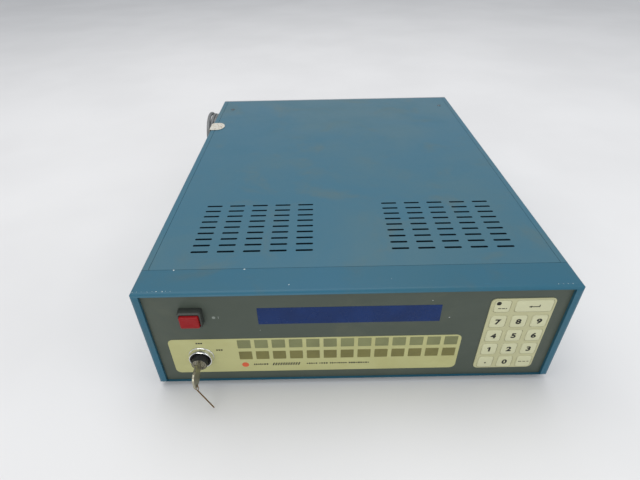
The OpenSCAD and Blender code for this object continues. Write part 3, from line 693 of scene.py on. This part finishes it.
def text_mesh(name, words, height, weight, widen, thick):
    """Characters of the built-in font as a flat mesh facing the front, centred on the origin."""
    figure_height = 0.73
    data = bpy.data.curves.new(name, "FONT")
    data.body = words
    data.size = height / figure_height
    data.offset = weight
    data.extrude = thick / 2
    data.align_x, data.align_y = "CENTER", "CENTER"
    data.resolution_u = 5
    mesh = mesh_of(name, data)
    xs = [v.co.x for v in mesh.vertices]
    ys = [v.co.y for v in mesh.vertices]
    centre = Vector(((min(xs) + max(xs)) / 2, (min(ys) + max(ys)) / 2, 0))
    mesh.transform(Matrix.Translation(-centre))
    mesh.transform(Matrix.Diagonal((widen, 1, 1, 1)))
    mesh.transform(Matrix.Rotation(math.radians(90), 4, "X"))
    return mesh


def ink_bars(shape, y, bars):
    """Thin printed bars on a surface at y, each (x, z, width, height) in metres."""
    for x, z, w, h in bars:
        block(shape, (x - w / 2, y - INK_OVER, z - h / 2), (x + w / 2, y + INK_UNDER, z + h / 2))


def ink_shape(shape, y, outline):
    """A thin printed shape on a surface at y, with corners of (x, z) in metres."""
    loft(shape, [[Vector((x, h, z)) for x, z in outline] for h in (y + INK_UNDER, y - INK_OVER)])


def disc(shape, x, y, z, r, inner=0.0):
    """A printed dot, or a ring where inner is given, on a surface at y."""
    inner = max(inner, 0.001 * MM)
    profile = [(inner, INK_UNDER), (r, INK_UNDER), (r, -INK_OVER), (inner, -INK_OVER)]
    lathe(shape, (x, y, z), profile, steps=28)


def key_mark(name, x, y, z):
    """The mark on a key that has none from the font, round x and z on a surface at y."""
    def bars(parts):
        ink_bars(shape, y, [(x + u * MM, z + v * MM, w * MM, h * MM) for u, v, w, h in parts])

    def outlined(corners):
        ink_shape(shape, y, [(x + u * MM, z + v * MM) for u, v in corners])

    shape = bmesh.new()
    if name == "key_1":
        # The built-in font's 1 is a plain bar, and the key's has a flag
        outlined([(1.1, -3.35), (1.1, 3.35), (-0.5, 3.35), (-2.3, 2.2), (-2.3, 0.9), (-0.8, 1.6),
                  (-0.8, -3.35)])
    elif name == "key_point":
        disc(shape, x, y, z - 1.2 * MM, 1.0 * MM)
    elif name == "key_dash":
        bars([(-4.0, 0, 3.6, 1.0), (0.6, 0, 3.0, 1.0), (4.4, 0, 2.2, 1.0)])
    elif name == "key_wide":
        bars([(1.6, -0.6, 8.0, 1.0), (5.1, 0.6, 1.0, 2.6)])
        outlined([(-5.4, -0.6), (-2.4, -2.0), (-2.4, 0.8)])
    else:
        disc(shape, x - 4.2 * MM, y, z + 4.4 * MM, 2.4 * MM)
        bars([(-2.4, -2.4, 3.0, 1.0), (1.4, -2.4, 3.2, 1.0), (4.2, -2.4, 1.2, 1.0)])
    return shape


def make_key_prints():
    """A number, or a plain mark, on each key."""
    for name, words in KEYS.items():
        y = box(name)[0].y
        centre = middle(name)
        if words and words != "1":
            mesh = text_mesh(name + "_print", words, 6.6 * MM, 0.42 * MM, 1.14, 0.05 * MM)
            mesh.transform(Matrix.Translation((centre.x, y, centre.z)))
            add_piece(name + "_print", mesh, "ink", name)
        else:
            add_shape(name + "_print", key_mark(name, centre.x, y, centre.z), "ink", name)


# ---- marks on the panel ----

def make_panel_marks():
    """Bars, hatching and rings that stand in for the printing on the strip and beside the switch."""
    strip_low = box("legend_strip")[0]
    y = strip_low.y
    lock = middle("lock_ring")
    switch = middle("switch_housing")
    dark = bmesh.new()
    line_z = strip_low.z + 11.2 * MM
    # The dashed bars: x of the start, length and height
    dashed = [(-106.6, 16.5, 2.7), (-50.4, 11.5, 2.3), (-37.0, 9.5, 2.3), (-25.6, 17.5, 2.3),
              (-5.4, 22.0, 2.3)]
    draw = random.Random(3)
    shortest, gap = 0.6, 0.7
    for start, length, height in dashed:
        x = start
        while x < start + length - shortest:
            w = draw.uniform(1.2, 2.0)
            ink_bars(dark, y, [((x + w / 2) * MM, line_z, w * MM, height * MM * draw.uniform(0.6, 1.0))])
            x += w + gap
    hatch_start, hatch_step, half, wide, lean = -86.2, 2.7, 2.1, 1.45, 0.8
    for k in range(11):
        x = hatch_start + hatch_step * k
        corners = [(x - lean, -half), (x - lean + wide, -half), (x + lean + wide, half), (x + lean, half)]
        ink_shape(dark, y, [(u * MM, line_z + v * MM) for u, v in corners])
    square = 1.9 * MM
    for x, z in ((lock.x + 0.5 * MM, lock.z + 19.3 * MM), (lock.x + 19.9 * MM, lock.z + 8.7 * MM)):
        ink_bars(dark, y, [(x + u * MM, z, square, square) for u in (-2.4, 0, 2.4)])
    add_shape("strip_marks", dark, "ink", CASE)
    red = bmesh.new()
    disc(red, -115.6 * MM, y, strip_low.z + 11.0 * MM, 3.7 * MM, inner=1.7 * MM)
    add_shape("strip_red_mark", red, "ink_red", CASE)
    pale = bmesh.new()
    panel = box("panel_overlay")[0].y
    disc(pale, switch.x + 20.8 * MM, panel, switch.z - 3.8 * MM, 1.7 * MM, inner=1.2 * MM)
    ink_bars(pale, panel, [(switch.x + 25.4 * MM, switch.z - 3.8 * MM, 0.6 * MM, 3.2 * MM)])
    add_shape("switch_marks", pale, "ink_pale", CASE)


# ---- key lock ----

def make_lock():
    """The lock's turned ring and collar, and on its cylinder a sleeve, a rim and two rings of pins."""
    low, high = box("lock_ring")
    centre = middle("lock_ring")
    axis = Vector((centre.x, 0, centre.z))
    r = (high.x - low.x) / 2
    inner = r - 2.7 * MM
    front, back = low.y, high.y
    ring = bmesh.new()
    profile = [(inner, back), (r, back), (r, back - 0.7 * MM), (r - 0.25 * MM, back - 1.15 * MM),
               (r - 0.55 * MM, back - 1.35 * MM), (r - 1.0 * MM, front + 2.2 * MM),
               (r - 1.25 * MM, front + 0.8 * MM), (r - 1.5 * MM, front + 0.25 * MM), (r - 1.9 * MM, front),
               (r - 2.4 * MM, front + 0.15 * MM), (inner, front + 0.8 * MM)]
    lathe_ring(ring, axis, profile)
    add_shape("lock_ring_turned", ring, "chrome", CASE, ["lock_ring"], smooth_angle=28)

    cylinder_low, cylinder_high = box("lock_cylinder")
    cylinder_r = (cylinder_high.x - cylinder_low.x) / 2
    low, high = box("lock_collar")
    r_out, r_in = (high.x - low.x) / 2, cylinder_r + 0.3 * MM
    collar = bmesh.new()
    lathe_ring(collar, axis, [(r_in, high.y), (r_out, high.y), (r_out, low.y + 0.5 * MM),
                              (r_out - 0.4 * MM, low.y), (r_in + 0.5 * MM, low.y + 1.6 * MM),
                              (r_in, low.y + 2.0 * MM)])
    add_shape("lock_collar_turned", collar, "collar", CASE, ["lock_collar"],
              smooth_angle=28)

    sleeve, rim, pins = bmesh.new(), bmesh.new(), bmesh.new()
    # Profiles of radius and y, in millimetres from the cylinder's own radius and face
    sleeve_profile = [(-0.9, 0.1), (-0.02, 9), (0.12, 9), (0.12, 0.2), (-0.1, -0.35), (-0.8, -0.4)]
    rim_profile = [(-2.0, 0.05), (-0.9, 0.05), (-0.9, -0.5), (-1.3, -0.62), (-1.8, -0.45)]
    y = cylinder_low.y
    for turned, points in ((sleeve, sleeve_profile), (rim, rim_profile)):
        lathe_ring(turned, axis, [(cylinder_r + u * MM, y + v * MM) for u, v in points])
    # The key's blade passes between the pins
    blade_half = 2.2
    for count, reach, size in ((14, 5.2, 0.5), (9, 3.6, 0.45)):
        pin = [(0.01, 0.05), (size, 0.05), (size * 0.9, -0.2), (size * 0.5, -0.28), (0.01, -0.3)]
        for k in range(count):
            a = 2 * math.pi * (k + 0.5) / count
            if abs(math.cos(a)) * reach < blade_half:
                continue
            place = axis + Vector((reach * math.cos(a), 0, reach * math.sin(a))) * MM
            lathe(pins, place, [(u * MM, y + v * MM) for u, v in pin], steps=12)
    for name, turned, mat in (("sleeve", sleeve, "black"), ("rim", rim, "cylinder"), ("pins", pins, "core")):
        name = "lock_cylinder_" + name
        add_shape(name, turned, mat, "lock_cylinder", smooth_angle=28)


def outline_mesh(name, outlines, thick, bevel):
    """Flat outlines, the first one outside and the rest holes, as a plate in X and Y centred on Z."""
    data = bpy.data.curves.new(name, "CURVE")
    data.dimensions = "2D"
    data.fill_mode = "BOTH"
    data.extrude = thick / 2 - bevel
    data.bevel_depth = bevel
    data.bevel_resolution = 2
    data.offset = -bevel
    for outline in outlines:
        spline = data.splines.new("POLY")
        spline.points.add(len(outline) - 1)
        for point, (u, v) in zip(spline.points, outline):
            point.co = (u, v, 0, 1)
        spline.use_cyclic_u = True
    mesh = mesh_of(name, data)
    mesh.shade_smooth()
    mesh.set_sharp_from_angle(angle=math.radians(35))
    return mesh


# The hole in the key's bow: from the bow's front, and from the lock's axis
KEY_HOLE_Y, KEY_HOLE_Z = 4.5 * MM, -5.4 * MM


def make_key():
    """The key in the lock: a bow with a hole, a neck, and a blade with cuts along its top."""
    low, high = box("lock_key")
    centre = middle("lock_ring")
    half = (high.z - low.z) / 2
    thick = high.x - low.x
    bow_back = low.y + 21 * MM
    corner = 6.5 * MM
    shoulder = box("lock_cylinder")[0].y - 1.2 * MM
    tip = high.y
    neck, blade = 5.4 * MM, 4.0 * MM
    first_cut, cut_step = 19.2, 3.8
    hole_y, hole_z, hole_r = low.y + KEY_HOLE_Y, KEY_HOLE_Z, 1.7 * MM
    outline = [(bow_back, -neck)]
    for cy, cz, first in ((bow_back - corner, -half + corner, 0), (low.y + corner, -half + corner, -90),
                          (low.y + corner, half - corner, -180), (bow_back - corner, half - corner, -270)):
        for k in range(9):
            a = math.radians(first - 90 * k / 8)
            outline.append((cy + corner * math.cos(a), cz + corner * math.sin(a)))
    outline = [outline[0]] + [(y, z) for y, z in outline[1:]
                              if not (y > bow_back - 0.01 * MM and abs(z) < neck)]
    outline += [(bow_back, neck), (shoulder, neck), (shoulder, blade)]
    for k, depth in enumerate([1.9, 1.2, 2.2, 0.6, 1.6]):
        y, z = tip - (first_cut - cut_step * k) * MM, blade - depth * MM
        outline += [(y - 0.5 * MM, z), (y + 0.5 * MM, z), (y + 1.3 * MM, blade - 0.3 * MM)]
    outline += [(tip, 0.5 * MM), (tip, -0.5 * MM), (tip - 3 * MM, -blade), (shoulder, -blade),
                (shoulder, -neck)]
    hole = [(hole_y + hole_r * math.cos(a), hole_z + hole_r * math.sin(a))
            for a in (-2 * math.pi * k / 20 for k in range(20))]
    mesh = outline_mesh("key_in_lock", [outline, hole], thick, 0.22 * MM)
    turn = Matrix(((0, 0, 1, centre.x), (1, 0, 0, 0), (0, 1, 0, centre.z), (0, 0, 0, 1)))
    mesh.transform(turn)
    add_piece("key_in_lock", mesh, "nickel", "lock_key", ["lock_key"])


def make_wire():
    """The tie on the key: an eye through the bow's hole, then two strands twisted round each other."""
    key_low = box("lock_key")[0]
    centre = middle("lock_ring")
    pivot = Vector((centre.x, key_low.y + KEY_HOLE_Y, centre.z + KEY_HOLE_Z))
    # In millimetres: the wire's radius, the eye's, and the heights where the strands close in and meet
    wire_r, eye_r, leg, close = 0.405, 1.9, -5.0, -8.0
    # The twist: its turns, points, distance between a strand and the middle, and share of the stem
    twists, steps, apart, share = 7, 110, 0.4, 0.985
    stem_end = Vector((12.4, 0, -38.2))
    stem_start = Vector((0.3, 0, close))
    stem = stem_end - stem_start
    along = stem.normalized()
    side, forward = Vector((along.z, 0, -along.x)), Vector((0, 1, 0))
    strands = []
    for sign in (-1, 1):
        points = []
        for k in range(9):
            a = math.radians(90 * k / 8)
            points.append(Vector((sign * eye_r * math.sin(a), 0, -eye_r + eye_r * math.cos(a))))
        for t in (0.25, 0.5, 0.75, 1):
            points.append(Vector((sign * eye_r, 0, -eye_r + t * (leg + eye_r))))
        for t in (0.2, 0.4, 0.6, 0.8):
            ease = t * t * (3 - 2 * t)
            x = sign * eye_r + ease * (stem_start.x - sign * (eye_r - apart))
            points.append(Vector((x, 0, leg + t * (close - leg))))
        for k in range(steps + 1):
            t = k / steps
            a = 2 * math.pi * twists * t
            around = (forward * math.sin(a) - side * math.cos(a)) * sign
            points.append(stem_start + stem * t * share + around * apart)
        strands.append(points)
    path = [pivot + p * MM for p in [*reversed(strands[0]), *strands[1][1:]]]
    add_piece("wire_tie", round_bar("wire_tie", path, wire_r * MM, 3), "wire", "wire_loop",
              ["wire_loop"])


# ---- power switch ----

def make_switch():
    """The power switch: a cushioned surround with a recess and, in it, a cap that slides."""
    low, high = box("switch_housing")
    cap_low, cap_high = box("power_button")
    centre, cap_centre = (low + high) / 2, (cap_low + cap_high) / 2
    w, h = high.x - low.x, high.z - low.z
    cap_w, cap_h = cap_high.x - cap_low.x, cap_high.z - cap_low.z
    hole_w, hole_h = cap_w + 0.6 * MM, cap_h + 0.6 * MM
    body_w, body_h, body_r = w - 1.6 * MM, h - 2 * MM, 0.8 * MM
    roll, roll_steps = 1.5 * MM, 5
    front = low.y
    panel = box("panel_overlay")[0].y
    # The recess leaves room for the cap's travel
    recess = panel + 4.8 * MM
    shape = bmesh.new()

    def ring(width, height, r, y, z=centre.z):
        return [Vector((centre.x + u, y, z + v)) for u, v in rounded_outline(width, height, r)]

    rings = [ring(body_w, body_h, body_r, high.y), ring(body_w, body_h, body_r, panel + 0.02 * MM),
             ring(w, h, 2.0 * MM, panel)]
    for k in range(roll_steps + 1):
        a = math.radians(90 * k / roll_steps)
        inset = roll * (1 - math.cos(a))
        rings.append(ring(w - 2 * inset, h - 2 * inset, 2.4 * MM, front + roll * (1 - math.sin(a))))
    rings += [ring(hole_w, hole_h, 1.2 * MM, front + 0.25 * MM, cap_centre.z),
              ring(hole_w, hole_h, 1.2 * MM, recess, cap_centre.z),
              ring(hole_w - 3 * MM, hole_h - 3 * MM, 1.0 * MM, recess + 0.1 * MM, cap_centre.z)]
    loft(shape, rings)
    # Three contact blades at its back
    for k in (-1, 0, 1):
        block(shape, (centre.x + (7 * k - 1) * MM, high.y, centre.z - 3 * MM),
              (centre.x + (7 * k + 1) * MM, high.y + 6 * MM, centre.z + 3 * MM))
    add_shape("switch_body", shape, "bezel", CASE, ["switch_housing"], smooth_angle=40)

    cap = bmesh.new()
    cushioned_pad(cap, cap_centre, cap_w, cap_h, 1.4 * MM, cap_low.y, panel + 0.9 * MM, 1.1 * MM, 0.5 * MM)
    add_shape("switch_cap", cap, "red", "power_button", ["power_button"], smooth_angle=50)


# ---- rear ----

def make_rear():
    """The connectors' lugs, insulators and contacts, and the ribbed sleeve where the lead comes out."""
    low, high = box("bnc_connectors")
    flange_r = 8.6 * MM
    xs = [low.x + flange_r, (low.x + high.x) / 2, high.x - flange_r]
    z = middle("bnc_connectors").z
    lugs, seats = bmesh.new(), bmesh.new()
    for x in xs:
        for side in (-1, 1):
            lathe(lugs, (x + side * 4.7 * MM, high.y - 3.2 * MM, z),
                  [(0.9 * MM, 0), (0.9 * MM, side * 1.0 * MM), (0.6 * MM, side * 1.2 * MM)],
                  axis="X", steps=16)
        lathe_ring(seats, Vector((x, high.y, z)),
                   [(r * MM, y * MM) for r, y in ((0.8, -1.1), (2.35, -1.1), (2.35, -0.9), (0.8, -0.9))], 32)
    add_shape("bnc_lugs", lugs, "chrome", CASE)
    add_shape("bnc_insulators", seats, "tag", CASE)

    high = box("data_connector")[1]
    centre = middle("data_connector")
    face = bmesh.new()
    outline = rounded_outline(36.6 * MM, 6.7 * MM, 2.0 * MM)
    loft(face, [[Vector((centre.x + u, y, centre.z + v)) for u, v in outline]
                for y in (high.y - 0.3 * MM, high.y + 0.1 * MM)])
    add_shape("data_insulator", face, "black", CASE)
    pins = bmesh.new()
    pitch, row_z = 2.76 * MM, 1.42 * MM
    contact = [(r * MM, y * MM) for r, y in ((0.01, 0.05), (0.55, 0.05), (0.5, 0.35), (0.01, 0.4))]
    for row, count in ((1, 13), (-1, 12)):
        for k in range(count):
            x = centre.x + (k - (count - 1) / 2) * pitch
            lathe(pins, (x, high.y, centre.z + row * row_z), contact, steps=10)
    add_shape("data_contacts", pins, "wire", CASE)

    low, high = box("strain_relief")
    centre = middle("strain_relief")
    axis = Vector((centre.x, 0, centre.z))
    sleeve = bmesh.new()
    flange = ((8.0, -0.02), (9.8, -0.02), (9.9, 0.6), (9.6, 2.6), (8.8, 3.0), (7.1, 3.2))
    profile = [(0.01 * MM, low.y), (8.0 * MM, low.y), *((r * MM, BACK + y * MM) for r, y in flange)]
    ribs, start, end = 7, BACK + 4 * MM, high.y - 1 * MM
    for k in range(ribs):
        a, b, c = (start + (end - start) * share / ribs for share in (k, k + 0.55, k + 1))
        r = 7.0 - 2.5 * k / ribs
        profile += [(r * MM, a), ((r - 0.15) * MM, b), ((r - 1.1) * MM, b + 0.3 * MM),
                    ((r - 1.15) * MM, c - 0.3 * MM)]
    profile += [(4.3 * MM, end), (4.1 * MM, high.y), (3.2 * MM, high.y + 0.1 * MM), (0.01 * MM, high.y)]
    lathe(sleeve, axis, profile, steps=48)
    add_shape("relief_sleeve", sleeve, "relief", CASE, ["strain_relief"], smooth_angle=32)


# ---- plug and tag ----

def make_plug():
    """The moulded plug, with a ribbed sleeve behind it, grip ridges, two flat blades and a round pin."""
    x = middle("mains_plug").x
    z = PLUG_AXIS_Z * MM
    back = FRONT + PLUG_BACK_Y * MM
    front = back - 34 * MM

    def ring(w, h, r, y):
        return [Vector((x + u, y, z + v)) for u, v in rounded_outline(w * MM, h * MM, r * MM)]

    body = bmesh.new()
    # Width, height, corner radius and distance behind the front
    sections = ((26.4, 21.4, 4.6, 0), (27, 22, 5, 0.6), (27, 22, 5, 7), (25.6, 20.6, 5.5, 9),
                (24.5, 19.6, 6, 14), (24.8, 20, 6.5, 22), (24, 19.5, 7.5, 28), (20, 17, 7.5, 32.5),
                (15, 14, 6.8, 34))
    loft(body, [ring(w, h, r, front + y * MM) for w, h, r, y in sections])
    ribs, rib_step = 6, 5.2
    rows = []
    for k in range(ribs):
        r = 13.6 - 4.6 * k / ribs
        y = back - 0.4 * MM + k * rib_step * MM
        rows += [ring(r, r, r / 2 - 0.05, y), ring(r - 0.4, r - 0.4, r / 2 - 0.3, y + 3 * MM),
                 ring(r - 2.4, r - 2.4, r / 2 - 1.3, y + 3.4 * MM),
                 ring(r - 2.4, r - 2.4, r / 2 - 1.3, y + 4.8 * MM)]
    rows.append(ring(8.4, 8.4, 4.1, back + 31 * MM))
    loft(body, rows)
    for side in (-1, 1):
        ridge_x = x + side * 12.2 * MM
        for k in range(4):
            y = front + (11 + 3.2 * k) * MM
            block(body, (ridge_x - 0.5 * MM, y, z - 5 * MM), (ridge_x + 0.5 * MM, y + 1.4 * MM, z + 5 * MM))
    add_shape("plug_body", body, "cord", CASE, ["mains_plug"], smooth_angle=40)
    blades = bmesh.new()
    blade_z = z + 4.5 * MM
    for side in (-1, 1):
        blade_x = x + side * 6.35 * MM
        block(blades, (blade_x - 0.75 * MM, front - 17 * MM, blade_z - 3.2 * MM),
              (blade_x + 0.75 * MM, front + 1 * MM, blade_z + 3.2 * MM))
    pin = ((0.3, -18), (1.6, -17.4), (2.3, -15.6), (2.4, -14), (2.4, 1))
    lathe(blades, (x, 0, blade_z - 11.9 * MM), [(r * MM, front + y * MM) for r, y in pin], steps=32)
    piece = add_shape("plug_blades", blades, "blade", CASE, smooth_angle=30)
    add_bevel(piece, 0.2 * MM)


def make_tag():
    """A paper tag on the coil: one oval flap lies over the cover's edge, the other hangs beside the case."""
    low, high = box("cord_tag")
    thick, bend = 0.5 * MM, 1.3 * MM
    y_mid = (low.y + high.y) / 2
    reach = high.x - 0.4 * MM
    edge = low.x + 1.6 * MM
    top = high.z - thick / 2 - 0.05 * MM
    bottom = low.z + 0.2 * MM
    path = []
    for k in range(13):
        t = k / 12
        path.append((reach + (edge - reach) * t, top + 0.15 * MM * math.sin(math.pi * t)))
    for k in range(1, 8):
        a = math.radians(90 * k / 7)
        path.append((edge - bend * math.sin(a), top - bend * (1 - math.cos(a))))
    side_x, bend_z = path[-1]
    for k in range(1, 12):
        t = k / 11
        path.append((side_x + 0.25 * MM * math.sin(math.pi * t), bend_z + (bottom - bend_z) * t))
    runs = [0.0]
    for (x0, za), (x1, zb) in zip(path, path[1:]):
        runs.append(runs[-1] + math.hypot(x1 - x0, zb - za))
    half = (high.y - low.y) / 2
    shape = bmesh.new()
    rings = []
    for i, ((x, z), run) in enumerate(zip(path, runs)):
        a, b = path[max(i - 1, 0)], path[min(i + 1, len(path) - 1)]
        d = Vector((b[0] - a[0], 0, b[1] - a[1])).normalized()
        n = Vector((-d.z, 0, d.x)) * thick / 2
        t = run / runs[-1]
        # Each flap ends in an oval, and the one that hangs down is the narrower
        lobe = 1.0 if t < 0.45 else 0.82
        end = min(t, 1 - t) / 0.24
        wide = half * lobe * math.sqrt(max(0.02, 1 - (1 - min(end, 1)) ** 2))
        across = [Vector((x, y_mid + v * wide, z)) for v in (-1, -0.5, 0, 0.5, 1)]
        rings.append([p + n for p in across] + [p - n for p in reversed(across)])
    loft(shape, rings)
    add_shape("paper_tag", shape, "tag", CASE, ["cord_tag"], smooth_angle=50)


def make_floor():
    """The table top."""
    bpy.ops.mesh.primitive_plane_add(size=12, location=(0, 0, -0.0003))
    floor = bpy.context.object
    floor.name = "floor"
    p = Paint("table_top", (0.74, 0.735, 0.74), 0.6)
    p.colour(p.mix(p.ramp(p.noise(3, 3, 0.5), 0.3, 0.7), (0.69, 0.685, 0.69), (0.73, 0.725, 0.73)))
    floor.data.materials.append(p.mat)


make_camera()
make_studio()
cord_piece = make_cord()
paint_cad_nodes()
finish_case()
make_screws()
make_chips()
make_keys()
make_key_prints()
make_panel_marks()
make_lock()
make_key()
make_wire()
make_switch()
make_rear()
make_plug()
make_tag()
make_floor()

bpy.context.view_layer.update()
